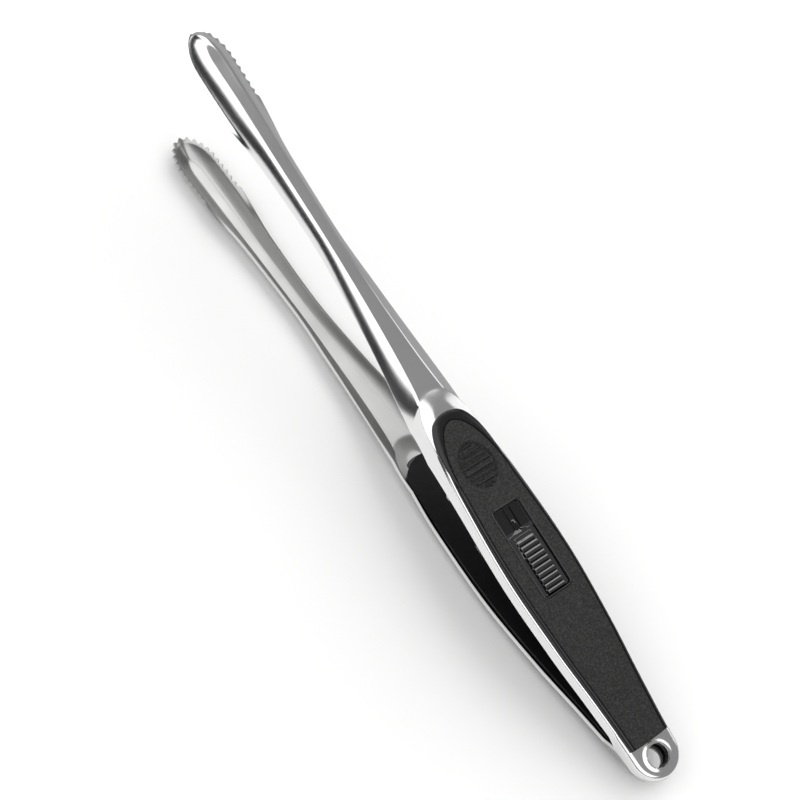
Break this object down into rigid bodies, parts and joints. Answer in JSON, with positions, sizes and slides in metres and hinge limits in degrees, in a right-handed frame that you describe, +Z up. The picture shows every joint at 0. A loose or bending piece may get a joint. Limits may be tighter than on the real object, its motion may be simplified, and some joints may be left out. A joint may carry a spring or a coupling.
{
  "type": "kitchen tongs",
  "caption": "Locking kitchen tongs with scooped serrated steel arms, cushioned grips, a ribbed slide lock, a sprung hinge and a hanging hole.",
  "frame": {"origin": "centre of the bounding box at ground level; the tongs lie open on the lower half", "axes": "+X from the tips towards the hanging hole, +Z up, +Y across"},
  "size_m": [0.3004, 0.0282, 0.0808],
  "materials": {
    "arm_steel": "pressed stainless sheet, satin polished, fine grain along the arm",
    "liner_plastic": "moulded black plastic, fine satin",
    "base_plastic": "glossy black moulding",
    "pad_rubber": "soft matt pad with a fine leather grain",
    "track_plastic": "black moulding, satin",
    "button_plastic": "black moulding, semi gloss, worn bright along the ribs",
    "latch_steel": "stamped steel, dull zinc",
    "screw_steel": "plated steel",
    "spring_steel": "drawn spring wire and strip"
  },
  "bodies": {
    "lower_half": {"lower_arm": "arm_steel", "lower_liner": "liner_plastic", "lower_grip_base": "base_plastic", "lower_grip_pad": "pad_rubber", "lower_hang_bush": "liner_plastic", "lower_grip_screws": "screw_steel", "latch_strike": "latch_steel", "strike_screws": "screw_steel", "hinge_pin": "screw_steel", "pin_clip": "spring_steel", "pivot_washers": "latch_steel", "spring_sleeve": "liner_plastic", "opening_spring": "spring_steel"},
    "upper_half": {"upper_arm": "arm_steel", "upper_liner": "liner_plastic", "upper_grip_base": "base_plastic", "upper_grip_pad": "pad_rubber", "upper_hang_bush": "liner_plastic", "upper_grip_screws": "screw_steel", "slide_track": "track_plastic", "detent_spring": "spring_steel", "detent_screw": "screw_steel"},
    "slide_lock": {"slide_button": "button_plastic", "latch_plate": "latch_steel", "latch_screw": "screw_steel"}
  },
  "joints": [
    {"name": "arm_hinge", "type": "hinge", "parent": "lower_half", "child": "upper_half", "pos_m": [0.12751, 0, 0.01205], "axis": [0, -1, 0], "range_deg": [0, 14.6], "stiffness_Nm_per_rad": 0.8, "springref_deg": -40.11, "deforming": ["opening_spring"]},
    {"name": "lock_slide", "type": "slide", "parent": "upper_half", "child": "slide_lock", "axis": [-0.9726, 0, 0.2326], "range_m": [0, 0.0085]}
  ]
}
